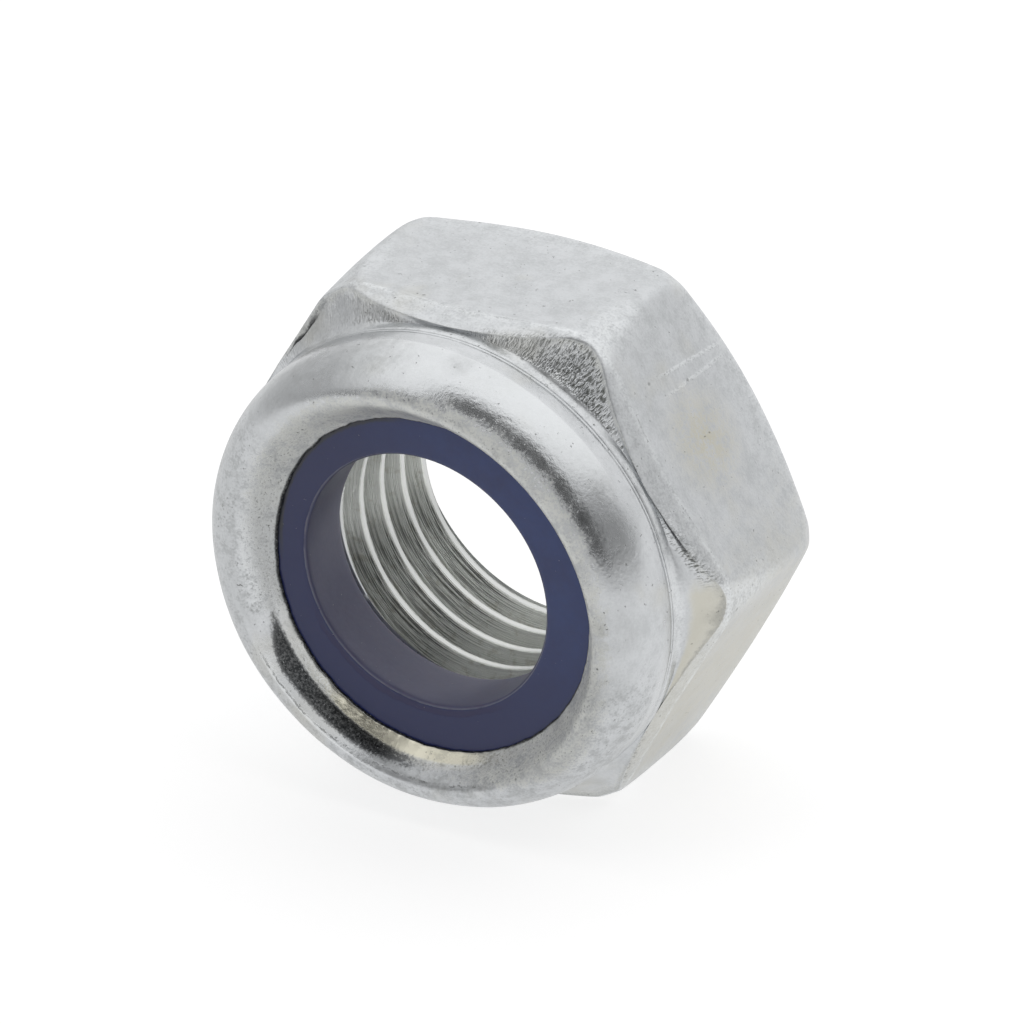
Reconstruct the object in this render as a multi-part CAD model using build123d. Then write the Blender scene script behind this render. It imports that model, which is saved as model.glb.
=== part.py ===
from build123d import *
import os
from build123d.topology import SkipClean
from math import cos, pi, radians, tan

# Prevailing-torque hexagon nut with a nylon ring, M30 x 3.5. Millimetres.
# The nut is drawn around its own axis, with the bearing face at z = 0 and the ring end
# towards +z, and is laid on one of its flats at the end (see "Placing").

# ---- Driving dimensions --------------------------------------------------------------------
thread_major = 30.0          # nominal thread diameter
thread_pitch = 3.5
thread_start = 0.35          # height of the groove over the +x side, in turns
across_flats = 46.0
nut_height = 28.4            # bearing face to the crown of the collar

corner_round = 0.9           # rounding along the six corners of the hexagon
corner_loss = 1.2            # radius that the corners lose up to their rim
corner_fall = 10.5           # height over which they lose it
corner_drop = 3.5            # corners' rim to the step under the collar
bearing_inset = 1.4          # bearing circle inside the flats
bearing_chamfer = 30.0       # degrees, from the bearing face
countersink_land = 1.5       # countersink mouth outside the thread
countersink_angle = 45.0     # degrees, from the bearing face
run_out = 0.2                # room for the tap outside the thread at the ring's seat
run_out_angle = 30.0         # degrees, from the ring's seat

collar_height = 7.9          # step to crown
collar_inset = 0.7           # collar's wall inside the flats
collar_straight = 1.8        # height of the collar's straight wall
collar_wall = 3.9            # thickness of the collar beside the ring
shoulder_step = 0.35         # width of the step under the collar
crown_inset = 3.4            # crown circle inside the collar's wall
crown_rise = 2.8             # crown over the lip's edge
lip_cover = 2.4              # reach of the lip over the ring
lip_edge = 0.35              # thickness of the lip's edge

ring_thickness = 6.05
ring_bite = 0.92             # ring bore inside the thread's crests
ring_edge_round = 0.35       # rounding of the ring's edges at its bore

# ---- Worked out from them ------------------------------------------------------------------
half_flats = across_flats / 2
corner_radius = half_flats / cos(pi / 6)
bearing_radius = half_flats - bearing_inset
major_radius = thread_major / 2
thread_depth = 0.54127 * thread_pitch            # ISO metric, internal
minor_radius = major_radius - thread_depth
mouth_radius = major_radius + countersink_land
run_out_radius = major_radius + run_out
collar_radius = half_flats - collar_inset
crown_radius = collar_radius - crown_inset
ring_outer_radius = collar_radius - collar_wall
ring_bore_radius = minor_radius - ring_bite
lip_radius = ring_outer_radius - lip_cover

chamfer_z = (corner_radius - bearing_radius) * tan(radians(bearing_chamfer))
mouth_z = (mouth_radius - minor_radius) * tan(radians(countersink_angle))
shoulder_z = nut_height - collar_height
collar_z = shoulder_z + collar_straight
lip_z = nut_height - crown_rise
ring_top_z = lip_z - lip_edge
seat_z = ring_top_z - ring_thickness
run_out_z = seat_z - (run_out_radius - minor_radius) * tan(radians(run_out_angle))


def at(radius, z):
    """A point of the half section: the radius runs along +x and the nut's axis is z."""
    return Vector(radius, 0, z)


def between(low, high, share):
    return low + share * (high - low)


def chain(*points):
    """Straight edges through the points, in order."""
    return [Line(a, b) for a, b in zip(points, points[1:])]


def turned(edges):
    """The closed chain of edges, turned about the axis."""
    return revolve(make_face(edges), axis=Axis.Z)


# ---- Blank: cold-formed body before tapping ------------------------------------------------
step_radius = collar_radius + shoulder_step

# The corners fill less and less towards their rim, and a hollow shoulder runs from there to
# the step under the collar.
rim_radius = corner_radius - corner_loss
rim_z = shoulder_z - corner_drop
wall_z = rim_z - corner_fall
lean = Vector(between(rim_radius, corner_radius, 0.41), 0, between(rim_z, wall_z, 0.29))
corners = Bezier(
    at(corner_radius, wall_z),
    at(corner_radius, between(wall_z, rim_z, 0.33)),
    lean,
    at(rim_radius, rim_z),
)
shoulder = Bezier(
    at(rim_radius, rim_z),
    at(rim_radius, rim_z) + 0.36 * (at(rim_radius, rim_z) - lean),
    at(between(step_radius, rim_radius, 0.24), between(rim_z, shoulder_z, 0.66)),
    at(step_radius, shoulder_z),
)
# The collar is rolled over: up and round to the crown, then down the dish to the lip.
dome = Bezier(
    at(collar_radius, collar_z),
    at(collar_radius, between(collar_z, nut_height, 0.55)),
    at(between(crown_radius, collar_radius, 0.29), nut_height),
    at(crown_radius, nut_height),
)
dish = Bezier(
    at(crown_radius, nut_height),
    at(between(crown_radius, lip_radius, 0.33), nut_height),
    at(between(lip_radius, crown_radius, 0.42), between(lip_z, nut_height, 0.45)),
    at(lip_radius, lip_z),
)
section = [
    *chain(at(mouth_radius, 0), at(bearing_radius, 0), at(corner_radius, chamfer_z),
           at(corner_radius, wall_z)),
    corners,
    shoulder,
    *chain(at(step_radius, shoulder_z), at(collar_radius, shoulder_z),
           at(collar_radius, collar_z)),
    dome,
    dish,
    *chain(at(lip_radius, lip_z), at(lip_radius, ring_top_z),
           at(ring_outer_radius, ring_top_z), at(ring_outer_radius, seat_z),
           at(run_out_radius, seat_z), at(minor_radius, run_out_z),
           at(minor_radius, mouth_z), at(mouth_radius, 0)),
]
hexagon = fillet(
    RegularPolygon(half_flats, 6, major_radius=False, rotation=30).vertices(), corner_round
)
blank = (turned(section) & extrude(hexagon, nut_height)).solid()

# ---- Tap: a core as wide as the minor diameter with one helical ridge on it ----------------
overlap = 0.12                                   # how far the ridge is sunk in the core
half_root = thread_pitch / 16
half_mouth = 3 * thread_pitch / 8 + overlap * tan(radians(30))
ridge_base = (thread_start - 3) * thread_pitch
ridge_top = between(seat_z, ring_top_z, 0.7)

helix = Helix(pitch=thread_pitch, height=ridge_top - ridge_base, radius=minor_radius)
ridge_section = Plane(origin=helix @ 0, x_dir=(1, 0, 0), z_dir=helix % 0) * make_face(
    Polyline((-overlap, -half_mouth), (thread_depth, -half_root),
             (thread_depth, half_root), (-overlap, half_mouth), close=True)
)
ridge = Pos(0, 0, ridge_base) * sweep(ridge_section, path=helix, is_frenet=True)
core = Pos(0, 0, nut_height / 2) * Cylinder(minor_radius, 2 * nut_height)
tapped = (blank - (core + ridge)).solid()

# The body stays in three equal sectors, so each crest of the thread is a set of short
# cylinder faces rather than one long spiral. The seams run clear of the corners.
seam_angle = 10.0
sectors = [
    (tapped & Rotation(0, 0, seam_angle + 120 * i) * Pos(0, 0, nut_height / 2)
     * Cylinder(across_flats, 2 * nut_height, arc_size=120,
                align=(Align.NONE, Align.NONE, Align.CENTER))).solid()
    for i in range(3)
]
with SkipClean():
    body = sectors[0].fuse(*sectors[1:]).solid()

# ---- Nylon ring: fills the recess, held down by the lip ------------------------------------
ring_section = fillet(
    make_face(Polyline(at(ring_bore_radius, seat_z), at(ring_outer_radius, seat_z),
                       at(ring_outer_radius, ring_top_z), at(ring_bore_radius, ring_top_z),
                       close=True)).vertices().sort_by(Axis.X)[:2],
    ring_edge_round,
)
ring = revolve(ring_section, axis=Axis.Z).solid()

# ---- Placing: on one flat, the ring end towards -y, the bearing face towards +y ------------
placing = Plane(origin=(0, nut_height / 2, half_flats), x_dir=(0, 0, 1), z_dir=(0, -1, 0))

os.makedirs("parts", exist_ok=True)
for node, shape in (("nut_body", body), ("nylon_ring", ring)):
    shape = placing.location * shape
    shape.label = node
    export_step(shape, f"parts/{node}.step")
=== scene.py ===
"""Nylon insert lock nut: the looks of the part, built around its CAD frame."""

import math

import bpy
import numpy as np
from bpy.props import FloatProperty, FloatVectorProperty, PointerProperty
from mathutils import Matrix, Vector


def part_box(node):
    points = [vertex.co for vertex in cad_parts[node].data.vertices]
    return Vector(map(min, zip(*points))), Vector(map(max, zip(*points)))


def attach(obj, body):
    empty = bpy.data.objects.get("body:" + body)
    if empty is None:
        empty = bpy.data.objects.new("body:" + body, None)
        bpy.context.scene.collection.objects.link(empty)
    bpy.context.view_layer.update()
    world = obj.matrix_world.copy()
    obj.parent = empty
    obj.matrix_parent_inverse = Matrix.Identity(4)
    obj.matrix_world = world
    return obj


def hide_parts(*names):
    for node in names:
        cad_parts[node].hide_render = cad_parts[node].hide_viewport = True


bl_info = {
    "name": "Nylon insert lock nut",
    "version": (1, 0, 0),
    "blender": (4, 5, 0),
    "location": "View3D > Sidebar > Lock Nut",
    "description": "Builds a zinc-plated lock nut with its nylon ring, finishes and stage",
    "category": "Add Mesh",
}

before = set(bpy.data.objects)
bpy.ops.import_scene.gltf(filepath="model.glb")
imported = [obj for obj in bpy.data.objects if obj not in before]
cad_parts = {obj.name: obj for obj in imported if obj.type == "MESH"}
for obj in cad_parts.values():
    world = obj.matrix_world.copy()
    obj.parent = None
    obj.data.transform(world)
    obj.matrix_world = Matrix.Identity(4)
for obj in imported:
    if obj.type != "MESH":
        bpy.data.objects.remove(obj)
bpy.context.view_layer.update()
BODY_LOW, BODY_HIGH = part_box("nut_body")
RING_LOW, RING_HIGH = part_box("nylon_ring")

MM = 1000.0                      # millimetres in a metre
HEX_TAN = math.tan(math.pi / 6)
THREAD_DEPTH = 0.54127           # depth of an internal ISO thread, in pitches
THREAD_START = 0.35              # height of the groove over the side at angle 0, in turns
CORNER_BLUNT = 0.7               # what the hexagon's corners lack at the chamfer, in mm
CRACK_RADIUS = 18.4              # where the fissures run round the crown, in mm
FLOOR_GAP = 0.00005              # keeps the floor clear of the flat that lies on it, in m

# Where forming, plating and handling left their marks, and where shade and a highlight are
# painted, in degrees around the axis: 0 is straight up and 90 towards -X. The flats' middles
# are at 0, 60, 120 and so on.
SCRATCHED_FLAT = 300.0
TINTED_FLAT = 240.0
SMOOTH_POCKET = 270.0            # the shoulder's pocket that was pressed smooth on one side
TORN_POCKET = 41.0               # crevice along a pocket's rim
FLATTER_SIDE = 80.0              # side of the collar that was rolled flatter
# The band in the dish on the next side is a painted dark reflection
SHADE_BAND_SIDE = 137.0               # burnt band in the dish
CRACKED_SIDE = 164.0             # fissures round the crown
# The yellowish patch on the lip on the next side carries a painted highlight
GILT_HIGHLIGHT_SIDE = 176.0                # yellowish bright patch on the lip

# Scratches: the heights where each begins and ends, and its places across the flat there
SCRATCHES = ((1.7, 12.8, 5.83, 7.05), (1.9, 12.6, 4.83, 5.15))
# Spots: direction, radius, height and reach
BLOT = (SCRATCHED_FLAT, 23.0, 10.2, 6.5)
KNOCKS = ((317.1, 24.0, 13.3, 0.32), (312.5, 23.5, 8.35, 0.30))
# Painted shade: darker patches on the collar and in one pocket
SHADE_PATCHES = (
    (306.0, 22.0, 24.2, 2.6), (296.0, 22.1, 24.0, 3.0), (287.0, 21.4, 25.4, 3.4),
    (272.0, 20.6, 27.2, 4.2), (256.0, 20.0, 27.7, 4.0), (264.0, 24.2, 20.8, 3.0),
    (350.0, 22.1, 23.9, 2.2), (8.0, 21.9, 24.8, 5.5), (24.0, 21.8, 24.9, 6.5),
    (40.0, 21.6, 25.2, 6.5))


# ---- Settings ------------------------------------------------------------------------------
def length(name, description, default_mm):
    """A length that a user can change, given in millimetres and held in metres."""
    return FloatProperty(name=name, description=description, default=default_mm / MM,
                         min=0.0, subtype="DISTANCE", unit="LENGTH", precision=4)


def colour(name, description, default):
    """A colour that a user can change."""
    return FloatVectorProperty(name=name, description=description, default=default,
                               subtype="COLOR", size=3, min=0.0, max=1.0)


class NutSizes(bpy.types.PropertyGroup):
    """Sizes of the steel body, along and around the bore's axis."""

    across_flats: length("Across flats", "Width of the hexagon",
                         (BODY_HIGH.z - BODY_LOW.z) * MM)
    height: length("Height", "Bearing face to crown", (BODY_HIGH.y - BODY_LOW.y) * MM)
    thread_major: length("Thread diameter", "Nominal diameter of the thread", 30.0)
    pitch: length("Pitch", "Pitch of the thread", 3.5)
    countersink: length("Countersink", "Countersink mouth outside the thread", 1.5)
    run_out: length("Run-out", "Tap's room outside the thread at the ring's seat", 0.2)
    bearing_inset: length("Bearing inset", "Bearing circle inside the flats", 1.4)
    corner: length("Corner radius", "Rounding of the hexagon's corners", 1.0)
    corner_loss: length("Corner loss", "Radius that the corners lose up to their rim", 1.2)
    corner_fall: length("Corner fall", "Height over which they lose it", 10.5)
    corner_drop: length("Corner drop", "Corners' rim to the step", 3.5)
    hollow: length("Hollow", "Hollow of the shoulder's pockets at the corners", 0.28)
    collar_height: length("Collar height", "Step to crown", 7.9)
    collar_inset: length("Collar inset", "Collar's wall inside the flats", 0.7)
    collar_straight: length("Collar wall height", "Straight part of the collar", 1.8)
    crown_inset: length("Crown inset", "Crown circle inside the collar's wall", 3.4)
    crown_rise: length("Crown rise", "Crown over the lip's edge", 2.8)
    lip_edge: length("Lip edge", "Thickness of the lip's edge", 0.35)
    lip_cover: length("Lip cover", "Reach of the lip over the ring", 2.4)


class RingSizes(bpy.types.PropertyGroup):
    """Sizes of the nylon ring."""

    outside: length("Outside", "Outside diameter", (RING_HIGH.x - RING_LOW.x) * MM)
    thickness: length("Thickness", "Thickness along the bore", (RING_HIGH.y - RING_LOW.y) * MM)
    bite: length("Bite", "Bore inside the thread's crests", 0.92)
    edge: length("Edge radius", "Rounding of the bore's edges", 0.35)


class Finishes(bpy.types.PropertyGroup):
    """Colours of the finishes, and of painted shade and painted highlights."""

    zinc: colour("Zinc", "Zinc plating", (0.625, 0.64, 0.655))
    zinc_dull: colour("Dull zinc", "Duller grain of the plating", (0.50, 0.515, 0.525))
    zinc_matt: colour("Matt zinc", "Plating left rough where the collar was rolled",
                      (0.78, 0.79, 0.76))
    passivate: colour("Warm tint", "Yellowish tint of the passivation", (0.56, 0.54, 0.455))
    # Yellowish plating on the lip, painted bright as a highlight
    gilt_highlight: colour("Gilt", "Bright yellowish plating on the lip", (0.86, 0.83, 0.69))
    # Granular dirt, and painted shade at the bottom of pits, cracks and folds
    dirt_and_shade: colour("Dirt", "Bottom of pits, cracks and folds", (0.13, 0.135, 0.125))
    # Painted shade: a dark reflection in the dish, shade at the lip's edge, in grooves and
    # crevices, and in the gap over the ring
    deep_shade: colour("Soot", "Burnt plating beside the lip", (0.020, 0.022, 0.024))
    crest: colour("Crests", "Thread's crests", (0.62, 0.63, 0.62))
    worn: colour("Worn edges", "Plating rubbed bright on edges", (0.78, 0.80, 0.81))
    flank: colour("Flanks", "Thread's cut flanks", (0.95, 0.97, 0.93))
    nylon: colour("Nylon", "Ring's colour", (0.013, 0.021, 0.104))
    nylon_light: colour("Light nylon", "Ring where light passes through it",
                        (0.022, 0.050, 0.19))
    nylon_rubbed: colour("Rubbed nylon", "Ring's bore, rubbed dull", (0.120, 0.122, 0.212))
    # Painted shade in a crease beside the ring's bore
    nylon_crease_shade: colour("Nylon crease", "Crease beside the ring's bore",
                         (0.010, 0.010, 0.080))
    # Painted highlight along the edge of the ring's bore
    nylon_edge_highlight: colour("Nylon burr", "Pale burr round the ring's bore", (0.17, 0.18, 0.25))
    dust: colour("Dust", "Dust on the nylon", (0.45, 0.46, 0.50))


class StageSettings(bpy.types.PropertyGroup):
    """Floor, light and camera."""

    floor_size: FloatProperty(name="Floor", description="Width of the floor", default=4.0,
                              min=0.1, subtype="DISTANCE", unit="LENGTH")
    floor_colour: colour("Floor colour", "Colour of the floor", (0.42, 0.42, 0.42))
    floor_glow: FloatProperty(name="Floor glow", description="Light that only shows the floor",
                              default=0.72, min=0.0)
    sky_low: FloatProperty(name="Studio", description="Strength of the tent low at the front",
                           default=0.78, min=0.0)
    sky_rise: FloatProperty(name="Studio rise", description="What it gains high at the back",
                            default=0.37, min=0.0)
    arch: FloatProperty(name="Arch", description="Darkness of the arch across the front",
                        default=0.93, min=0.0, max=1.0)
    dim_side: FloatProperty(name="Dim side", description="Darkness of the tent's right side",
                            default=0.55, min=0.0, max=1.0)
    focal: FloatProperty(name="Focal length", description="Camera's focal length in mm",
                         default=330.5, min=1.0)
    camera_place: FloatVectorProperty(
        name="Camera place", description="Where the camera stands", subtype="TRANSLATION",
        unit="LENGTH", size=3, default=(0.38638, -0.61725, 0.41407))
    camera_turn: FloatVectorProperty(
        name="Camera turn", description="Camera's rotation", subtype="EULER", size=3,
        default=tuple(math.radians(a) for a in (61.829, 2.366, 30.617)))


# ---- Shader expressions --------------------------------------------------------------------
class Value:
    """One number in a shader, so that arithmetic on it adds Math nodes."""

    def __init__(self, shader, socket):
        self.shader, self.socket = shader, socket

    def math(self, operation, *others):
        return self.shader.node("ShaderNodeMath", {"operation": operation},
                                dict(enumerate((self, *others))))

    def __add__(self, other):
        return self.math("ADD", other)

    def __sub__(self, other):
        return self.math("SUBTRACT", other)

    def __mul__(self, other):
        return self.math("MULTIPLY", other)

    def __truediv__(self, other):
        return self.math("DIVIDE", other)

    def __rsub__(self, other):
        return self.shader.number(other).math("SUBTRACT", self)

    def __abs__(self):
        return self.math("ABSOLUTE")

    __radd__, __rmul__ = __add__, __mul__

    def ramp(self, low, high, bottom=0.0, top=1.0):
        """A smooth step from bottom to top while the value goes from low to high."""
        return self.shader.node("ShaderNodeMapRange", {"interpolation_type": "SMOOTHSTEP"},
                                {"Value": self, "From Min": low, "From Max": high,
                                 "To Min": bottom, "To Max": top})


class Shader:
    """Adds nodes to one node tree."""

    def __init__(self, tree):
        self.tree = tree
        tree.nodes.clear()

    def node(self, kind, settings=None, inputs=None, out=0):
        """Adds one node, sets it up, fills its inputs, and gives one of its outputs."""
        node = self.tree.nodes.new(kind)
        for name, value in (settings or {}).items():
            setattr(node, name, value)
        for name, value in (inputs or {}).items():
            if isinstance(value, Value):
                self.tree.links.new(value.socket, node.inputs[name])
            else:
                node.inputs[name].default_value = value
        return Value(self, node.outputs[out]) if node.outputs else node

    def number(self, value):
        """A plain number as a value."""
        return self.node("ShaderNodeMath", {"operation": "ADD"}, {0: value, 1: 0.0})

    def vector(self, operation, *values, out=0):
        """Vector Math on two vectors."""
        return self.node("ShaderNodeVectorMath", {"operation": operation},
                         dict(enumerate(values)), out)

    def combined(self, *values):
        """A vector of three values."""
        return self.node("ShaderNodeCombineXYZ", {}, dict(enumerate(values)))

    def mix(self, factor, first, second):
        """Mixes two colours."""
        first, second = (v if isinstance(v, Value) else (*v, 1.0) for v in (first, second))
        return self.node("ShaderNodeMix", {"data_type": "RGBA"},
                         {0: factor, 6: first, 7: second}, out=2)

    def noise(self, vector, scale, detail=4.0, rough=0.55):
        """Noise from 0 to 1, finer with a larger scale."""
        return self.node("ShaderNodeTexNoise", {},
                         {"Vector": vector, "Scale": scale, "Detail": detail,
                          "Roughness": rough})

    def outputs(self, value):
        """All outputs of the node that a value comes from."""
        return [Value(self, o) for o in value.socket.node.outputs]

    def parts(self, vector):
        """The three parts of a vector."""
        return self.outputs(self.node("ShaderNodeSeparateXYZ", {}, {0: vector}))

    def attribute(self, name):
        """The three channels of a colour attribute, and its alpha."""
        both = self.outputs(self.node("ShaderNodeAttribute", {"attribute_name": name}))
        return self.parts(both[0]) + [both[3]]

    def coat(self, relief, strength, sockets):
        """Ends a material in a Principled shader, with its relief in millimetres as bump."""
        bump = self.node("ShaderNodeBump", {}, {"Strength": strength, "Distance": 1 / MM,
                                                "Height": relief})
        coat = self.node("ShaderNodeBsdfPrincipled", {}, {**sockets, "Normal": bump})
        self.node("ShaderNodeOutputMaterial", {}, {"Surface": coat})


def new_material(name):
    """An empty material, and what adds nodes to it."""
    material = bpy.data.materials.new(name)
    material.use_nodes = True
    return material, Shader(material.node_tree)


def minor_radius(sizes):
    """Radius of the thread's crests in millimetres."""
    return sizes.thread_major * MM / 2 - THREAD_DEPTH * (sizes.pitch * MM)


class Round:
    """A point's place on the nut: along its axis, and around it."""

    def __init__(self, s, sizes):
        self.s = s
        self.half_height = sizes.height * MM / 2
        self.half_flats = sizes.across_flats * MM / 2
        place = s.node("ShaderNodeTexCoord", out="Object")
        self.mm = s.vector("MULTIPLY", place, (MM, MM, MM))
        row_x, row_y, row_z = s.parts(self.mm)
        x = row_z - self.half_flats
        y = row_x * -1.0
        self.z = row_y * -1.0 + self.half_height
        self.radius = (x * x + y * y).math("SQRT")
        self.cosine, self.sine = x / self.radius, y / self.radius

    def across(self, degrees):
        """Sine of the angle from a direction around the axis."""
        turn = math.radians(degrees)
        return self.sine * math.cos(turn) - self.cosine * math.sin(turn)

    def away(self, degrees):
        """Angle in degrees from a direction around the axis, from -180 to 180."""
        turn = math.radians(degrees)
        ahead = self.cosine * math.cos(turn) + self.sine * math.sin(turn)
        return self.across(degrees).math("ARCTAN2", ahead) * math.degrees(1)

    def within(self, degrees, half_width, fade):
        """1 near a direction around the axis, 0 beyond it."""
        return abs(self.away(degrees)).ramp(half_width + fade, half_width)

    def streaks(self, around, along, along_scale, detail=3.0, rough=0.6):
        """Noise drawn out around the axis, or along the section."""
        at = self.s.combined(self.cosine * around, self.sine * around, along * along_scale)
        return self.s.noise(at, 1.0, detail, rough)

    def spots(self, *places):
        """1 at each of some points of the nut, 0 beyond its reach in mm."""
        total = 0.0
        for degrees, radius, z, reach in places:
            turn = math.radians(degrees)
            place = (-radius * math.sin(turn), self.half_height - z,
                     radius * math.cos(turn) + self.half_flats)
            gap = self.s.vector("DISTANCE", self.mm, place, out="Value")
            total = gap.ramp(reach, 0.0) + total
        return total


# ---- Zinc plating --------------------------------------------------------------------------
def scratch_lines(nut, mottle, grain):
    """1 on the fine scratches of one flat."""
    across = nut.radius * nut.across(SCRATCHED_FLAT)
    waver = (mottle - 0.5) * 0.3
    scratch = 0.0
    for low, high, first, last in SCRATCHES:
        slope = (last - first) / (high - low)
        line = abs(across - first - (nut.z - low) * slope + waver).ramp(0.26, 0.03)
        scratch = line * nut.z.ramp(low, low + 1.5) * nut.z.ramp(high, high - 2.5) + scratch
    return scratch * nut.within(SCRATCHED_FLAT, 22.0, 3.0) * grain.ramp(0.35, 0.5)


def crown_cracks(nut, cloud, patch, mottle, grain):
    """1 in the fine fissures that run round the crown on one side."""
    ragged = (cloud - 0.5) * 0.8 + (mottle - 0.5) * 0.6 + (grain - 0.5) * 0.4
    return (abs(nut.radius - CRACK_RADIUS - ragged).ramp(0.11, 0.01)
            * nut.within(CRACKED_SIDE, 36.0, 12.0) * nut.z.ramp(27.0, 27.6)
            * (mottle * 0.6 + patch * 0.5).ramp(0.48, 0.60))


def thread_finish(s, nut, finish, sizes, mottle):
    """Colour and relief of the thread: pale crests, and flanks with the tool's lines."""
    pitch = nut.z / (sizes.pitch * MM) - THREAD_START - nut.away(0.0) / 360.0
    share = pitch.math("FRACT")
    # A closed path over one pitch, and another around the axis, so the lines have no seam
    wheel = pitch * (2 * math.pi)
    lines = s.node("ShaderNodeTexNoise", {"noise_dimensions": "4D"},
                   {"Vector": s.combined(wheel.math("COSINE") * 9.0, wheel.math("SINE") * 9.0,
                                         nut.cosine * 3.0),
                    "W": nut.sine * 3.0, "Scale": 1.0, "Detail": 4.0, "Roughness": 0.65})
    # The flanks are darkest beside a crest, and the lines show best on one side.
    beside = share.ramp(0.88, 0.64)
    lined = 0.18 + nut.within(135.0, 17.0, 22.0) * 0.80
    shade = (lines.ramp(0.55, 0.42) * (0.55 + beside * 0.30) + beside * 0.12) * lined
    flank = s.mix(mottle.ramp(0.5, 0.7) * 0.5, finish.flank, finish.passivate)
    flank = s.mix(shade, flank, finish.dirt_and_shade)
    on_crest = abs(share - 0.485).ramp(0.084, 0.064)
    relief = (1.0 - on_crest) * (lines - 0.5) * (lined * 0.2 + 0.14)
    return s.mix(on_crest, flank, finish.crest), relief


def zinc_material(finish, sizes):
    """Zinc plating over cold-formed steel: grain, scuffs, pits, folds and cut thread."""
    material, s = new_material("zinc_plating")
    nut = Round(s, sizes)
    polish, crinkle, thread, wear = s.attribute("surface")
    rolled_matt, warm, stain, along = s.attribute("finish")
    cut_free = 1.0 - thread

    cloud = s.noise(nut.mm, 0.13, 3.0)
    patch = s.noise(nut.mm, 0.45, 4.0, 0.6)
    mottle = s.noise(nut.mm, 0.9, 5.0, 0.62)
    speck = s.noise(nut.mm, 2.6, 2.0, 0.5)
    grain = s.noise(nut.mm, 4.2, 4.0, 0.65)
    spark = s.noise(nut.mm, 5.5, 2.0, 0.5).ramp(0.66, 0.74)
    rolled = nut.streaks(13.0, along, 2.2)
    folds = nut.streaks(160.0, along, 2.1, 1.0, 0.5)
    coarse = nut.streaks(60.0, along, 1.5, 2.0, 0.5)

    # Plating: soft grain, rolling marks and cloudy tints, rough or polished by the rolling
    matt = (rolled_matt + (grain - 0.5) * 2.4 + (mottle - 0.5) * 2.0).ramp(-0.55, 0.55)
    bright = polish.ramp(0.4, 0.9) * (1.0 - matt) * (1.0 - crinkle)
    dull = polish.ramp(0.20, 0.34) * polish.ramp(0.46, 0.38) * cut_free
    tone = mottle * 0.18 + grain * 0.32 + rolled * 0.15 + patch * 0.35
    metal = s.mix(tone.ramp(0.34, 0.62) * (1.0 - bright * 0.4) + bright * 0.4,
                  finish.zinc_dull, finish.zinc)
    metal = s.mix(cloud.ramp(0.56, 0.74) * 0.30, metal, finish.passivate)
    metal = s.mix(matt * (0.15 + tone.ramp(0.38, 0.58) * 0.85), metal, finish.zinc_matt)
    metal = s.mix(bright * polish.ramp(0.85, 1.0) * 0.5, metal, finish.worn)
    metal = s.mix((warm + mottle * 0.8 - 0.4).ramp(0.1, 1.0) * 0.75, metal, finish.passivate)
    metal = s.mix(wear * (grain * 0.8 + mottle * 0.6).ramp(0.50, 0.85), metal, finish.worn)

    # The scratches and the warm blot on one flat
    scratch = scratch_lines(nut, mottle, grain)
    metal = s.mix(scratch * 0.50, metal, finish.worn)
    blot = nut.spots(BLOT) * (mottle * 0.6 + grain * 0.6).ramp(0.48, 0.66)
    metal = s.mix(blot * 0.9, metal, finish.passivate)

    # Painted shade in patches and on one side of the collar, the yellowish lip with a painted
    # highlight, then painted shade in pits, knocks, fissures and folds, with granular dirt
    shaded = nut.within(105.0, 35.0, 25.0) * nut.radius.ramp(17.4, 18.6) * 0.55
    shaded = shaded + nut.spots(*SHADE_PATCHES)
    shaded = shaded.ramp(0.0, 0.95) * (patch * 0.6 + mottle * 0.6).ramp(0.36, 0.88)
    pits = speck.ramp(0.69, 0.74) * mottle.ramp(0.42, 0.56) * cut_free + nut.spots(*KNOCKS)
    grit = (matt * grain.ramp(0.47, 0.36) * mottle.ramp(0.38, 0.60)
            + dull * grain.ramp(0.44, 0.34) * patch.ramp(0.45, 0.60) * 0.7)
    sandy = (dull * (grain * 0.35 + mottle * 0.65).ramp(0.60, 0.38)
             * (1.0 - matt * nut.within(150.0, 85.0, 25.0) * 0.75))
    crack = crown_cracks(nut, cloud, patch, mottle, grain)
    dark = (pits * 0.55 + grit * 0.35 + sandy * 0.32 + crack * 0.5
            + crinkle * (folds * 0.85 + coarse * 0.15).ramp(0.53, 0.40) * 0.80)
    metal = s.mix((warm * wear).ramp(0.6, 1.0), metal, finish.gilt_highlight)
    metal = s.mix(shaded * 0.32, metal, finish.dirt_and_shade)
    metal = s.mix(dark.ramp(0.0, 1.0), metal, finish.dirt_and_shade)

    # Painted shade: a dark reflection in the dish, and shade at the lip's edge, in grooves and
    # in crevices, with bright grains in it; then the cut thread
    dark_shade = (stain * 1.3 - 0.20 + (grain - 0.5) * 1.3).ramp(0.10, 0.70)
    metal = s.mix(dark_shade * (grain.ramp(0.64, 0.40) * 0.17 + 0.80) * (1.0 - spark * 0.7),
                  metal, finish.deep_shade)
    cut, cut_relief = thread_finish(s, nut, finish, sizes, mottle)
    metal = s.mix(thread, metal, cut)

    relief = ((grain - 0.5) * (matt * 0.035 + dull * 0.022 - polish * 0.015 + 0.018)
              + (mottle - 0.5) * (bright * 0.030 + dull * 0.012 + 0.018)
              + (speck - 0.5) * bright * 0.012 + (rolled - 0.5) * polish * cut_free * 0.006
              + scratch * 0.03 - pits * 0.03 - crack * 0.045
              + crinkle * ((folds - 0.5) * 0.17 + (coarse - 0.5) * 0.08)
              + dark_shade * (spark * 0.04 - 0.01) + thread * cut_relief)
    rough = (0.43 + (mottle - 0.5) * 0.14 - polish * 0.20 + matt * 0.22 * (1.0 - crinkle)
             + dark * 0.10)
    s.coat(relief, 1.0, {"Base Color": metal, "Metallic": 1.0 - matt * (1.0 - dark_shade) * 0.5,
                         "Roughness": rough})
    return material


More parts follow.
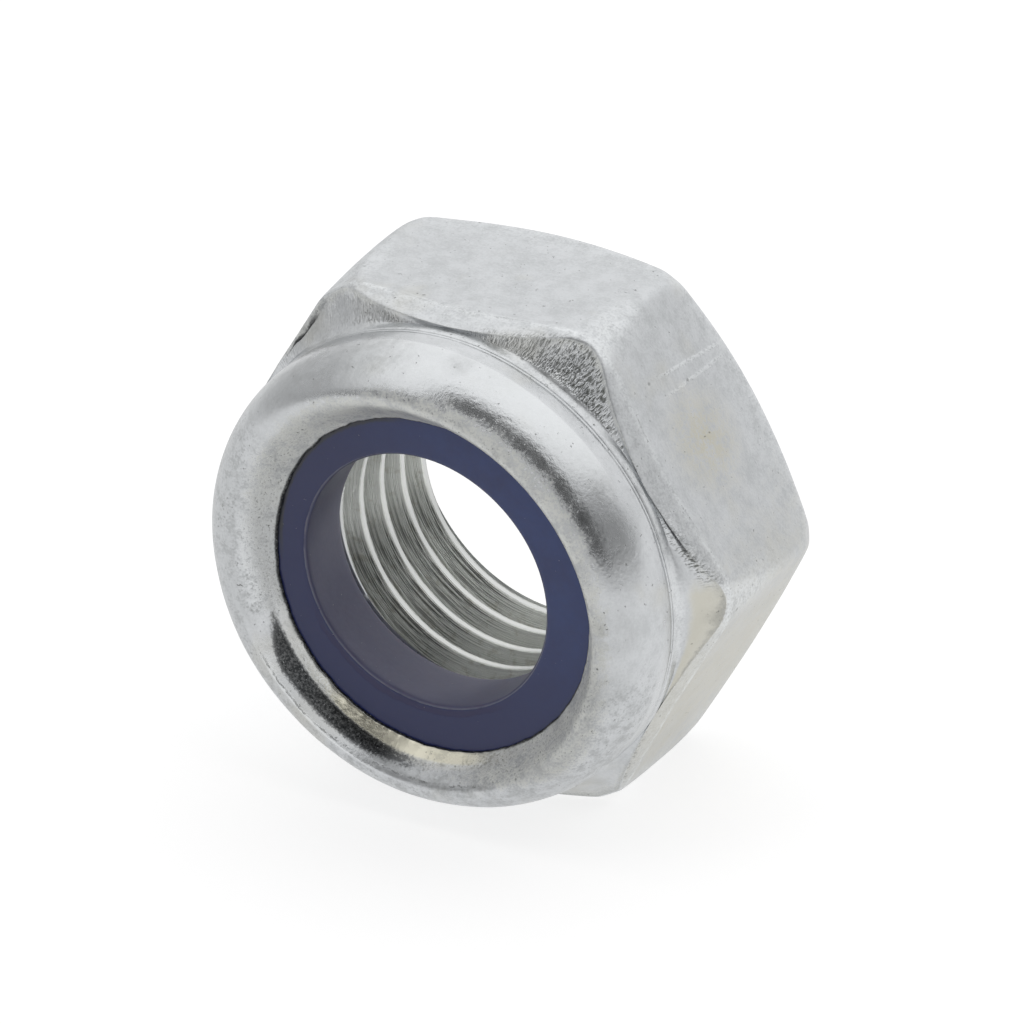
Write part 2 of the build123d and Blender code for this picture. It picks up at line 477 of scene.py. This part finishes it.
# ---- Nylon ---------------------------------------------------------------------------------
def nylon_material(finish, sizes, ring):
    """Deep blue nylon, satin and a little translucent, rubbed grey in its bore."""
    material, s = new_material("blue_nylon")
    nut = Round(s, sizes)
    haze = s.noise(nut.mm, 1.6, 4.0)
    wave = s.noise(nut.mm, 0.5, 3.0)
    dust = s.noise(nut.mm, 4.5, 1.0).ramp(0.785, 0.80)
    from_bore = nut.radius - (minor_radius(sizes) - ring.bite * MM)

    tone = s.mix(nut.within(305.0, 20.0, 80.0) * (wave * 0.6 + 0.55).ramp(0.4, 1.2),
                 finish.nylon, finish.nylon_light)
    # Painted shade in a crease beside the bore, which is also dented
    crease_shade = (abs(from_bore - 0.60 - (wave - 0.5) * 0.9).ramp(0.40, 0.15)
              * nut.within(165.0, 35.0, 25.0))
    tone = s.mix(crease_shade, tone, finish.nylon_crease_shade)
    rubbed = from_bore.ramp(0.22, 0.10)
    tone = s.mix(rubbed * (0.75 + haze * 0.3), tone, finish.nylon_rubbed)
    # Painted shadow in the gap beside the lip, which stands off centre
    lip = 15.36 - nut.away(45.0) * 0.0137
    gap = (nut.radius - lip - (haze - 0.5) * 0.3).ramp(-0.50, -0.18)
    tone = s.mix(gap * nut.within(48.0, 32.0, 16.0) * 0.85, tone, finish.deep_shade)
    # Painted highlight along the bore's rounded edge
    edge_highlight = abs(from_bore - 0.16 - (haze - 0.5) * 0.08).ramp(0.09, 0.02)
    tone = s.mix(edge_highlight * wave.ramp(0.25, 0.55), tone, finish.nylon_edge_highlight)
    tone = s.mix(dust * 0.7, tone, finish.dust)
    s.coat(haze * 0.02 + dust * 0.03 - crease_shade * 0.05, 0.5,
           {"Base Color": tone, "Roughness": haze * 0.12 + 0.30, "IOR": 1.53,
            "Subsurface Weight": 0.15, "Subsurface Scale": 0.002})
    return material


# ---- Mesh tools ----------------------------------------------------------------------------
def smooth(value, low, high):
    """A smooth step from 0 to 1 while the value goes from low to high."""
    t = np.clip((value - low) / (high - low), 0, 1)
    return t * t * (3 - 2 * t)


class Grain:
    """Smooth random values in space, the same on every run."""

    def __init__(self, seed, cells=32):
        self.cells = cells
        self.table = np.random.default_rng(seed).random((cells, cells, cells))

    def __call__(self, points, size):
        """Values from -1 to 1 that change over about the given size."""
        p = np.asarray(points) / size
        base = np.floor(p).astype(int)
        f = smooth(p - base, 0, 1)
        total = 0.0
        for corner in np.ndindex(2, 2, 2):
            at = [(base[..., k] + corner[k]) % self.cells for k in range(3)]
            weight = 1.0
            for k in range(3):
                weight = weight * (f[..., k] if corner[k] else 1 - f[..., k])
            total = total + weight * self.table[at[0], at[1], at[2]]
        return total * 2 - 1


def side_of(turn, degrees, period=360):
    """Signed angle in degrees from a direction, or from the nearest one of a set."""
    return (np.degrees(turn) - degrees + period / 2) % period - period / 2


def bell(turn, degrees, width):
    """1 in a direction around the axis, falling away over a width in degrees."""
    return np.exp(-(side_of(turn, degrees) / width) ** 2)


def plateau(turn, degrees, width):
    """Like a bell, but flat in its middle and steep at its sides."""
    return np.exp(-(side_of(turn, degrees) / width) ** 4)


def held_under(values, most, softness=0.12):
    """The values, kept under a limit with a soft edge."""
    return -softness * np.logaddexp(-values / softness, -most / softness)


def steps(number, first=False):
    """Equal steps up to 1, one for each row, with or without the one at 0."""
    return np.linspace(0, 1, number + 1)[0 if first else 1:, None]


def bezier(points, t):
    """Points (r, z) of a Bezier curve; each control value may be an array over the columns."""
    n = len(points) - 1
    return [sum(math.comb(n, i) * (1 - t) ** (n - i) * t ** i * np.asarray(p[k])
                for i, p in enumerate(points)) for k in range(2)]


def lay_down(x, y, z, sizes):
    """From the nut's own axes, in millimetres, to the frame's, in metres."""
    return np.stack([-y, sizes.height * MM / 2 - z, x + sizes.across_flats * MM / 2],
                    -1) / MM


def grid_object(name, points, attributes, material, sharp):
    """A closed grid of points as one welded mesh object with smooth shading."""
    rows, columns = points.shape[:2]
    index = np.arange(rows * columns).reshape(rows, columns)
    quads = np.stack([index[:-1, :-1], index[:-1, 1:], index[1:, 1:], index[1:, :-1]],
                     -1).reshape(-1, 4)
    flat = points.reshape(-1, 3)
    weld = 5e-6                                      # points this near become one, in m
    _, first, back = np.unique(np.round(flat / weld).astype(np.int64), axis=0,
                               return_index=True, return_inverse=True)
    quads = back.reshape(-1)[quads]
    faces = []
    for quad in quads.tolist():
        corners = [v for k, v in enumerate(quad) if v != quad[k - 1]]
        if len(corners) > 2 and len(set(corners)) == len(corners):
            faces.append(corners)
    mesh = bpy.data.meshes.new(name)
    mesh.from_pydata(flat[first].tolist(), [], faces)
    mesh.validate()
    for label, values in attributes.items():
        layer = mesh.color_attributes.new(label, "FLOAT_COLOR", "POINT")
        layer.data.foreach_set("color", values.reshape(-1, 4)[first].ravel())
    mesh.materials.append(material)
    mesh.polygons.foreach_set("use_smooth", [True] * len(mesh.polygons))
    mesh.set_sharp_from_angle(angle=sharp)
    piece = bpy.data.objects.new(name, mesh)
    bpy.context.scene.collection.objects.link(piece)
    return piece


# ---- Steel body ----------------------------------------------------------------------------
MASKS = ("polish", "crinkle", "thread", "wear", "matt", "warm", "stain")
# Colour attributes that carry the masks to the plating's nodes
LAYERS = {"surface": ("polish", "crinkle", "thread", "wear"),
          "finish": ("matt", "warm", "stain", "along")}
# Fine lines turned into the collar's foot: height over the first, and depth
TURNED_LINES = ((-0.08, 0.05), (0.0, 0.0), (0.22, 0.0), (0.28, 0.035), (0.36, 0.0))
# Rows over one pitch of the thread, closest at the edges of its crest
THREAD_PHASES = (-0.055, 0.055, 0.14, 0.25, 0.352, 0.382, 0.5, 0.618, 0.648, 0.75, 0.86)


def column_angles(per_flat, crowd=0.35):
    """Angles of the columns, closer together near the hexagon's corners."""
    u = np.linspace(-1, 1, per_flat, endpoint=False)
    offset = np.arctan((u + crowd * np.sin(math.pi * u) / math.pi) * HEX_TAN)
    turns = np.concatenate([offset + k * math.pi / 3 for k in range(6)])
    return np.append(turns, turns[0] + 2 * math.pi)


def hexagon_radius(corner_angle, half_flats, corner):
    """Radius of a round-cornered hexagon at an angle measured from its nearest corner."""
    centre = (half_flats - corner) / math.cos(math.pi / 6)
    flat = half_flats / np.cos(math.pi / 6 - corner_angle)
    tangent = np.arctan2(corner / 2, centre + corner * math.cos(math.pi / 6))
    inside = np.maximum(corner ** 2 - (centre * np.sin(corner_angle)) ** 2, 0)
    rounded = centre * np.cos(corner_angle) + np.sqrt(inside)
    return np.where(corner_angle < tangent, rounded, flat)


def thread_rows(turn, sizes, seat_z):
    """Radius and height of the tapped bore, in rows that follow the helix, ring end first."""
    pitch, major, minor = sizes.pitch * MM, sizes.thread_major * MM / 2, minor_radius(sizes)
    q = np.concatenate([np.array(THREAD_PHASES) + k for k in range(-3, 8)])
    q = q[(q > -1.5 - THREAD_START) & (q < seat_z / pitch)][::-1, None]
    half_root, flank = 1 / 16, 5 / 16                # of the ISO profile, in pitches
    p = np.abs((q + 0.5) % 1 - 0.5)
    crest = np.clip((p - half_root) / flank, 0, 1)
    cut = major - (major - minor) * crest
    z = pitch * (q + THREAD_START + turn[None] / (2 * math.pi))
    cut = np.broadcast_to(cut, z.shape).copy()
    z = np.clip(z, 0, seat_z)

    def cone():
        mouth = major + sizes.countersink * MM
        run_out = major + sizes.run_out * MM
        return np.maximum(mouth - z, run_out - (seat_z - z) * (1 / HEX_TAN))

    # Where the cones cut the thread, the nearer row moves to the cut, so the edge is clean.
    gap = cut - cone()
    change = gap[:-1] * gap[1:] < 0
    share = np.where(change, gap[:-1] / np.where(change, gap[:-1] - gap[1:], 1), 0)
    for upper in (True, False):
        rows, cols = np.nonzero(change & ((share < 0.5) == upper))
        t = share[rows, cols]
        cross_z = z[rows, cols] * (1 - t) + z[rows + 1, cols] * t
        cross_r = cut[rows, cols] * (1 - t) + cut[rows + 1, cols] * t
        target = rows if upper else rows + 1
        z[target, cols], cut[target, cols] = cross_z, cross_r
    return np.maximum(cut, cone()), z, np.clip((cut - cone()) * 4, 0, 1)


class BodySection:
    """The body's section at every angle, in rows of radius, height and masks: from the bearing
    face up the outside, over the collar, round the recess and down the thread."""

    def __init__(self, turn, sizes, ring):
        self.turn, self.sizes = turn, sizes
        self.rows, self.marks = [], {}
        self.half = sizes.across_flats * MM / 2
        self.point = self.half / math.cos(math.pi / 6)       # a sharp corner's radius
        self.bearing = self.half - sizes.bearing_inset * MM
        self.collar = self.half - sizes.collar_inset * MM
        self.crown = self.collar - sizes.crown_inset * MM
        self.recess = ring.outside * MM / 2
        self.top = sizes.height * MM
        self.lip_z = self.top - sizes.crown_rise * MM
        self.under_z = self.lip_z - sizes.lip_edge * MM
        self.seat_z = self.under_z - ring.thickness * MM
        self.step_z = self.top - sizes.collar_height * MM
        self.wall_z = self.step_z + sizes.collar_straight * MM
        # The rolled lip is a little out of round.
        self.lip = (self.recess - sizes.lip_cover * MM
                    + 0.13 * (1 + np.cos(2 * (turn - math.radians(135))))
                    + 0.20 * np.maximum(np.cos(turn - math.radians(315)), 0) ** 2
                    - 0.55 * bell(turn, 85, 38) + 0.12 * bell(turn, 170, 35))
        from_flat = np.abs((turn + math.pi / 6) % (math.pi / 3) - math.pi / 6)
        self.from_corner = math.pi / 6 - from_flat   # angle from the nearest corner
        self.degrees = np.degrees(self.from_corner)
        self.offset = side_of(turn, 30, 60)          # in degrees, and with its sign

    def add(self, r, z, **masks):
        """Adds rows, with 0 for the masks that aren't given."""
        shape = np.broadcast_shapes(np.shape(r), np.shape(z), (1, len(self.turn)))
        self.rows.append([np.broadcast_to(v, shape)
                          for v in (r, z, *(masks.get(name, 0.0) for name in MASKS))])

    def mark(self, name):
        """Keeps the number of rows so far under a name."""
        self.marks[name] = sum(len(part[0]) for part in self.rows)

    def add_bearing(self):
        """Bearing face and its chamfer, where the corners are blunt."""
        mouth = self.sizes.thread_major * MM / 2 + self.sizes.countersink * MM
        t = steps(6, first=True)
        self.add(mouth + (self.bearing - mouth) * t, 0 * t, polish=0.2)
        hexagon = hexagon_radius(self.from_corner, self.half, self.sizes.corner * MM)
        edge = held_under(hexagon, self.point - CORNER_BLUNT)
        t = steps(8)
        r = self.bearing + (edge - self.bearing) * t
        self.add(r, (r - self.bearing) * HEX_TAN, wear=0.5 * t ** 4 + 0.8 * (1 - t) ** 4)
        self.chamfer_z = (edge - self.bearing) * HEX_TAN
        self.mark("chamfer")

    def add_flats(self):
        """Flats: towards the shoulder the corners grow rounder and lose radius, and a strip
        along each flat's arched upper edge leans in."""
        sizes, turn, degrees, low = self.sizes, self.turn, self.degrees, self.chamfer_z
        arch = np.sqrt(degrees ** 2 + 9.0) - 3.0
        high = self.step_z - 3.9 + 3.35 * (1 - np.exp(-arch / 9.5))
        t = steps(40)
        t = t - 0.6 * np.sin(2 * math.pi * t) / (2 * math.pi)
        z = low + (high - low) * t
        rounding = sizes.corner * MM + 1.4 * smooth(z, 7.0, 17.0)
        r = hexagon_radius(self.from_corner, self.half, rounding)
        ridge_z = self.step_z - 3.4 - 0.6 * (1 - smooth(degrees, 3, 22))
        r = r - 0.20 * np.logaddexp(0, (z - ridge_z) * 8) / 8
        rim_z = self.step_z - sizes.corner_drop * MM
        fallen = np.clip((z - rim_z) / (sizes.corner_fall * MM) + 1, 0, 1.2)
        loss = sizes.corner_loss * MM * (1 - 0.35 * bell(turn, 210, 12))
        blunt = CORNER_BLUNT * np.clip(1 - (z - low) / 5, 0, 1) ** 2
        r = held_under(r, self.point - loss * fallen ** 1.8 - blunt)

        on_corner = np.exp(-(degrees / 4.0) ** 2) * smooth(z, 6, 15)
        ridge = np.exp(-((z - ridge_z) / 0.22) ** 2)
        strip = 0.4 * smooth(z, ridge_z, ridge_z + 0.4)
        # Painted shade in a thin line at the foot of the ridge
        below = np.exp(-((z - ridge_z + 0.1) / 0.2) ** 2) * smooth(degrees, 7, 13)
        frayed = (smooth(self.offset, 0, 8) * smooth(self.offset, 30, 18)
                  * smooth(z, high - 1.3, high))
        self.add(r, z, warm=0.75 * bell(turn, TINTED_FLAT, 38) + 0 * z, matt=-2.0,
                 crinkle=0.6 * frayed, stain=0.40 * below * (1 - bell(turn, 245, 22)),
                 wear=np.clip(0.75 * on_corner + ridge + strip + (1 - t) ** 10 * 0.5, 0, 1))
        self.edge = (r[-1], z[-1])
        self.mark("rim")

    def add_shoulder(self):
        """Shoulder: a hollow, folded pocket at each corner, next to nothing on the flats."""
        turn, offset = self.turn, self.offset
        at_corner = 1 - smooth(self.degrees, 4, 19)
        edge_r, edge_z = self.edge
        foot_r = self.collar + 0.05 + 0.28 * at_corner
        foot_z = self.step_z - 0.95 + 0.22 * at_corner
        span = np.hypot(edge_r - foot_r, foot_z - edge_z)
        sag = 2 * self.sizes.hollow * MM * span / 4.2
        bend = ((edge_r + foot_r) / 2 - sag * (foot_z - edge_z) / span,
                (edge_z + foot_z) / 2 - sag * (edge_r - foot_r) / span)
        t = steps(22)
        r, z = bezier([(edge_r, edge_z), bend, (foot_r, foot_z)], t)

        width = np.clip(span / 2.0, 0, 1)
        folded = smooth(t * span, 0.15, 0.55) + smooth(offset, -2, 6) * smooth(t, 0.0, 0.10)
        folded = np.clip(folded, 0, 1) * smooth(abs(offset), 36, 20) * smooth(t, 1.0, 0.93)
        # One pocket was pressed smooth on its lower side, and is tinted there.
        here = abs(side_of(turn, SMOOTH_POCKET)) < 30
        plain = np.where(here, smooth(side_of(turn, 274), 6, -3), 0)
        end = 0.45 + 0.6 * smooth(side_of(turn, SMOOTH_POCKET), 10, 20)
        pressed = folded * (1 - plain) * smooth(t, end + 0.15, end - 0.15)
        folded = np.where(here, pressed, folded)
        folded = folded * (1 - 0.7 * bell(turn, 35, 24)) * (1 - plateau(turn, 205, 40))
        depth = np.where(here, 1, 0.7 + 0.3 * smooth(offset, 12, -8))
        # Painted shade in a groove along the rim of one pocket
        groove_shade = bell(turn, 289, 10) * smooth(t, 0.5, 0.15) * here
        self.add(r, z, polish=0.45 + 0.45 * folded,
                 crinkle=folded * (0.45 + 0.55 * width) * depth,
                 warm=plain * smooth(t, 1.0, 0.6), matt=0.6 - 4.0 * t, stain=0.75 * groove_shade,
                 wear=0.6 * (1 - t) ** 6 + 0.35 * smooth(t, 0.9, 1.0))
        self.foot = (foot_r, foot_z)
        self.mark("foot")

    def add_wall(self):
        """Fillet and fine turned lines at the collar's foot, and its straight wall."""
        collar = self.collar + 0 * self.turn
        groove_z = self.step_z + 0.2
        foot_r, foot_z = self.foot
        fillet = [(foot_r, foot_z), (collar + 0.04, foot_z + 0.30), (collar, groove_z - 0.16)]
        self.add(*bezier(fillet, steps(5)), polish=0.5, wear=0.5, matt=-2.0)
        for rise, depth in TURNED_LINES:
            self.add(collar - depth, groove_z + rise, polish=0.6, wear=0.3, matt=-2.0)
        t = steps(5)
        low = groove_z + TURNED_LINES[-1][0]
        self.add(collar + 0 * t, low + (self.wall_z - low) * t, polish=0.7, matt=-2.0)

    def add_crown(self):
        """The collar's dome and dish. The rolling left them rough from the lip out to a circle
        that is well off centre, and polished them best on one side."""
        turn, collar, crown, lip, top = self.turn, self.collar, self.crown, self.lip, self.top
        shine = 0.35 + 0.65 * np.clip(bell(turn, 322, 42) + 0.7 * bell(turn, 15, 25), 0, 1)
        reach = 18.35 + 1.75 * np.cos(turn - math.radians(320)) + 1.9 * bell(turn, 230, 26)
        flatter = bell(turn, FLATTER_SIDE, 65)
        crown_z = top - 0.9 * flatter
        full = crown + (0.29 + 0.25 * flatter) * (collar - crown)
        dome_z = self.wall_z + 0.55 * (top - self.wall_z)
        r, z = bezier([(collar, self.wall_z), (collar, dome_z), (full, crown_z),
                       (crown, crown_z)], steps(20))
        self.add(r, z, polish=shine, matt=reach - r)
        self.mark("crown")

        t = steps(18)
        slope = (lip + 0.42 * (crown - lip), self.lip_z + 0.45 * (crown_z - self.lip_z))
        r, z = bezier([(crown, crown_z), (crown - 0.33 * (crown - lip), crown_z), slope,
                       (lip, self.lip_z)], t)
        # Painted shade: a band of dark reflection in the dish
        dark_shade = plateau(turn, SHADE_BAND_SIDE, 28) + 0.45 * bell(turn, 172, 16)
        band_r = 17.85 - 1.0 * smooth(side_of(turn, SHADE_BAND_SIDE), -8, -32)
        band = dark_shade * smooth(r - band_r, 0.55, -0.35) * smooth(r - lip, 0.45, 1.0)
        # Yellowish patch on the lip, with a painted highlight
        gilt_highlight = np.clip(plateau(turn, GILT_HIGHLIGHT_SIDE, 36) * smooth(r - lip, 1.5, 0.6)
                       + 0.55 * bell(turn, 130, 26) * smooth(r - lip, 0.9, 0.6), 0, 1)
        # Painted shade at the dish's edge by the lip
        edge_shade = 0.85 * smooth(t, 0.93, 1.0) * (1 - 0.7 * gilt_highlight)
        rubbed = 0.9 * bell(turn, 92, 30) * smooth(r, 18.4, 17.2)
        blurred = 1 - 0.75 * bell(turn, 296, 16)
        self.add(r, z, polish=np.maximum(shine * blurred, dark_shade), matt=reach - r - 2 * gilt_highlight,
                 warm=gilt_highlight, wear=np.maximum(gilt_highlight, rubbed), stain=np.maximum(band, edge_shade))
        # The lip's edge, darkened with painted shade
        t = steps(4)
        z = self.lip_z - (self.lip_z - self.under_z) * t
        self.add(lip - 0.06 * np.sin(math.pi * t), z, stain=0.9, matt=1.0)
        self.mark("lip")

    def add_bore(self):
        """The recess behind the lip, the ring's seat and the thread."""
        lip, recess, under_z, seat_z = self.lip, self.recess, self.under_z, self.seat_z
        run_out = self.sizes.thread_major * MM / 2 + self.sizes.run_out * MM
        t = steps(3)
        self.add(lip + (recess - lip) * t, under_z + 0 * t)
        self.add(recess + 0 * t, under_z + (seat_z - under_z) * t)
        self.add(recess + (run_out - recess) * t, seat_z + 0 * t)
        r, z, on_thread = thread_rows(self.turn, self.sizes, seat_z)
        self.add(r, z, polish=0.5, thread=on_thread, matt=-2.0)

    def joined(self):
        """All rows: radius, height, and the masks with the length along the section."""
        r, z, *masks = (np.concatenate(part).astype(float) for part in zip(*self.rows))
        along = np.cumsum(np.hypot(np.diff(r, axis=0, prepend=r[:1]),
                                   np.diff(z, axis=0, prepend=z[:1])), axis=0)
        return r, z, dict(zip(MASKS, masks), along=along)


def soften(values, first, last, passes):
    """Rounds an edge that runs along the rows first..last."""
    for _ in range(passes):
        values[first:last] = (values[first - 1:last - 1] + 2 * values[first:last]
                              + values[first + 1:last + 1]) / 4


def build_body(sizes, ring, material):
    """The steel body as one closed mesh, with its dents, scuffs and folds."""
    turn = column_angles(76)
    section = BodySection(turn, sizes, ring)
    for add in (section.add_bearing, section.add_flats, section.add_shoulder,
                section.add_wall, section.add_crown, section.add_bore):
        add()
    r, z, masks = section.joined()
    chamfer, rim, foot, crown, lip = (section.marks[name] for name in (
        "chamfer", "rim", "foot", "crown", "lip"))
    for first, last, passes in ((chamfer - 5, chamfer + 7, 10), (rim - 3, rim + 3, 3)):
        soften(r, first, last, passes)
        soften(z, first, last, passes)
    grain = Grain(11)
    points = np.stack([r * np.cos(turn), r * np.sin(turn), z], -1)
    row = np.arange(len(r))[:, None]
    outside = row < lip

    # The collar stands a little off centre, and its lip was rolled further off.
    to_collar = smooth(row, rim, foot) * outside
    to_lip = smooth(row, crown - 4, lip - 5) * outside
    x = points[..., 0] - 0.16 * to_collar + 0.07 * to_lip
    y = points[..., 1] - 0.05 * to_collar - 0.54 * to_lip

    # Waves and dents of cold forming, folds in the pockets, a ragged lip
    push = grain(points, 9.0) * 0.05 + grain(points + 90, 3.0) * 0.015
    dent = 0.22 * bell(turn, 62, 22) * smooth(row, rim - 6, rim)
    push = push + dent * smooth(row, crown, foot)
    push = push + masks["crinkle"] * (grain(points * [1, 1, 0.7], 0.9) * 0.04
                                      + grain(points + 30, 0.45) * 0.025)
    push = push + (grain(points, 1.1) * 0.08 + grain(points + 50, 0.45) * 0.05) * smooth(
        row, lip - 10, lip - 4)
    # One torn crevice along a pocket's rim, darkened with painted shade
    chip = bell(turn, TORN_POCKET, 5.5) * np.exp(-((row - rim - 4) / 2.2) ** 2)
    push = push - 0.5 * chip * (0.7 + 0.6 * grain(points, 0.8))
    masks["stain"] = np.clip(masks["stain"] + chip, 0, 1)
    push = push * outside * (z > 0.2)
    x = x + push * np.cos(turn)
    y = y + push * np.sin(turn)
    z = z + push * smooth(row, foot + 15, crown) * (row < lip - 6)

    points = lay_down(x, y, z, sizes)
    points[..., 2] = np.maximum(points[..., 2], 0.0)
    layers = {layer: np.stack([masks[name] for name in names], -1)
              for layer, names in LAYERS.items()}
    return grid_object("nut_body_plated", points, layers, material, math.radians(40))


# ---- Nylon ring ----------------------------------------------------------------------------
def build_ring(sizes, ring, material):
    """The nylon ring: flat where the lip covers it, crowned and round-edged at its bore."""
    turn = np.linspace(0, 2 * math.pi, 289)
    clear = 0.02                                     # clearance to the recess
    bore = minor_radius(sizes) - ring.bite * MM
    outer = ring.outside * MM / 2 - clear
    top = (sizes.height - sizes.crown_rise - sizes.lip_edge) * MM - clear
    low = top - ring.thickness * MM + 2 * clear
    edge = ring.edge * MM
    quarter = np.linspace(0, math.pi / 2, 7)[1:]
    section = [(outer, low), (outer, top)]
    section += [(r, top + 0.10 * math.sin(math.pi * (outer - r) / (outer - bore)))
                for r in np.linspace(outer, bore + edge, 24)[1:]]
    section += [(bore + edge - edge * math.sin(a), top - edge + edge * math.cos(a))
                for a in quarter]
    section += [(bore, h) for h in np.linspace(top - edge, low + edge, 14)[1:]]
    section += [(bore + edge - edge * math.cos(a), low + edge - edge * math.sin(a))
                for a in quarter]
    section += [(r, low) for r in np.linspace(bore + edge, outer, 5)[1:]]
    r, z = (np.array(v)[:, None] * np.ones_like(turn) for v in zip(*section))

    # The ring was pressed in: it waves a little, most beside its bore.
    points = np.stack([r * np.cos(turn), r * np.sin(turn), z], -1)
    grain = Grain(23)
    wave = grain(points, 6.0) * 0.04 + grain(points + 9, 1.7) * 0.012
    inner = smooth(outer - r, 0.5, 3.0)
    r = r + np.where(r < bore + 1, wave, 0) * inner
    z = z + np.where(z > top - 0.6, wave, 0) * inner
    r[:, -1], z[:, -1] = r[:, 0], z[:, 0]
    points = lay_down(r * np.cos(turn), r * np.sin(turn), z, sizes)
    return grid_object("nylon_locking_ring", points, {}, material, math.radians(45))


# ---- Operators -----------------------------------------------------------------------------
class LOCKNUT_OT_body(bpy.types.Operator):
    """Build the zinc-plated steel body with its internal thread"""

    bl_idname = "locknut.body"
    bl_label = "Steel Body"

    def execute(self, context):
        scene = context.scene
        material = zinc_material(scene.locknut_finish, scene.locknut_sizes)
        body = build_body(scene.locknut_sizes, scene.locknut_ring, material)
        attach(body, "root")
        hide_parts("nut_body")
        return {"FINISHED"}


class LOCKNUT_OT_ring(bpy.types.Operator):
    """Build the nylon ring in the collar's recess"""

    bl_idname = "locknut.ring"
    bl_label = "Nylon Ring"

    def execute(self, context):
        scene = context.scene
        material = nylon_material(scene.locknut_finish, scene.locknut_sizes,
                                  scene.locknut_ring)
        piece = build_ring(scene.locknut_sizes, scene.locknut_ring, material)
        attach(piece, "root")
        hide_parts("nylon_ring")
        return {"FINISHED"}


class LOCKNUT_OT_stage(bpy.types.Operator):
    """Set up the floor, the studio light and the camera"""

    bl_idname = "locknut.stage"
    bl_label = "Stage"

    def execute(self, context):
        settings = context.scene.locknut_stage
        self.add_floor(context.scene, settings)
        self.add_light(context.scene, settings)
        self.add_camera(context.scene, settings)
        context.scene.view_settings.view_transform = "Standard"
        return {"FINISHED"}

    def add_floor(self, scene, settings):
        material, s = new_material("floor_white")
        camera, gloss, through = (s.node("ShaderNodeLightPath", out=f"Is {ray} Ray")
                                  for ray in ("Camera", "Glossy", "Transmission"))
        glow = s.node("ShaderNodeEmission", {}, {
            "Color": (1.0, 1.0, 1.0, 1.0),
            "Strength": (camera + gloss + through) * settings.floor_glow})
        matt = s.node("ShaderNodeBsdfDiffuse", {}, {"Color": (*settings.floor_colour, 1.0)})
        s.node("ShaderNodeOutputMaterial", {}, {"Surface": s.node(
            "ShaderNodeAddShader", {}, {0: glow, 1: matt})})
        half = settings.floor_size / 2
        mesh = bpy.data.meshes.new("floor")
        mesh.from_pydata([(-half, -half, 0), (half, -half, 0), (half, half, 0),
                          (-half, half, 0)], [], [(0, 1, 2, 3)])
        mesh.materials.append(material)
        floor = bpy.data.objects.new("floor", mesh)
        floor.location.z = -FLOOR_GAP
        scene.collection.objects.link(floor)

    def add_light(self, scene, settings):
        world = bpy.data.worlds.new("studio")
        scene.world = world
        world.use_nodes = True
        s = Shader(world.node_tree)
        x, y, z = s.parts(s.node("ShaderNodeTexCoord", out="Generated"))
        # A white tent, brightest high at the back, dimmer on both sides, with one dark arch
        # across its front.
        back = (y * 0.55 + z * 0.75 - x * 0.35).ramp(-0.2, 0.9)
        left = x.ramp(-0.90, -0.45, 0.60, 1.0)
        right = 1.0 - x.ramp(0.76, 0.94) * settings.dim_side
        bent = y + x.ramp(-0.10, -0.38, 0.0, 0.42)
        arch = (bent.ramp(-0.70, -0.50) * bent.ramp(-0.14, -0.30) * z.ramp(-0.03, 0.06)
                * x.ramp(-0.80, -0.30, 0.45, 1.0))
        tent = ((back * settings.sky_rise + settings.sky_low) * left
                * (1.0 - arch * settings.arch) * right)
        seen = s.node("ShaderNodeLightPath", out="Is Camera Ray")
        s.node("ShaderNodeOutputWorld", {}, {"Surface": s.node(
            "ShaderNodeBackground", {}, {"Color": (1.0, 1.0, 1.0, 1.0),
                                         "Strength": tent * (1.0 - seen) + seen})})

    def add_camera(self, scene, settings):
        data = bpy.data.cameras.new("camera")
        data.lens = settings.focal
        data.sensor_width = 36.0
        data.clip_end = 20.0
        camera = bpy.data.objects.new("camera", data)
        camera.location = settings.camera_place
        camera.rotation_euler = settings.camera_turn
        scene.collection.objects.link(camera)
        scene.camera = camera


class LOCKNUT_PT_panel(bpy.types.Panel):
    """Lock nut's pieces and sizes"""

    bl_label = "Lock Nut"
    bl_idname = "LOCKNUT_PT_panel"
    bl_space_type = "VIEW_3D"
    bl_region_type = "UI"
    bl_category = "Lock Nut"

    def draw(self, context):
        for operator in OPERATORS:
            self.layout.operator(operator.bl_idname)
        for name, group in GROUPS.items():
            box = self.layout.box()
            settings = getattr(context.scene, name)
            for key in group.__annotations__:
                box.prop(settings, key)


GROUPS = {"locknut_sizes": NutSizes, "locknut_ring": RingSizes,
          "locknut_finish": Finishes, "locknut_stage": StageSettings}
OPERATORS = (LOCKNUT_OT_stage, LOCKNUT_OT_body, LOCKNUT_OT_ring)
CLASSES = (*GROUPS.values(), *OPERATORS, LOCKNUT_PT_panel)


def register():
    for item in CLASSES:
        bpy.utils.register_class(item)
    for name, group in GROUPS.items():
        setattr(bpy.types.Scene, name, PointerProperty(type=group))


def unregister():
    for name in GROUPS:
        delattr(bpy.types.Scene, name)
    for item in reversed(CLASSES):
        bpy.utils.unregister_class(item)


def main():
    register()
    bpy.ops.locknut.stage()
    bpy.ops.locknut.body()
    bpy.ops.locknut.ring()
    bpy.context.view_layer.update()


if __name__ == "__main__":
    main()
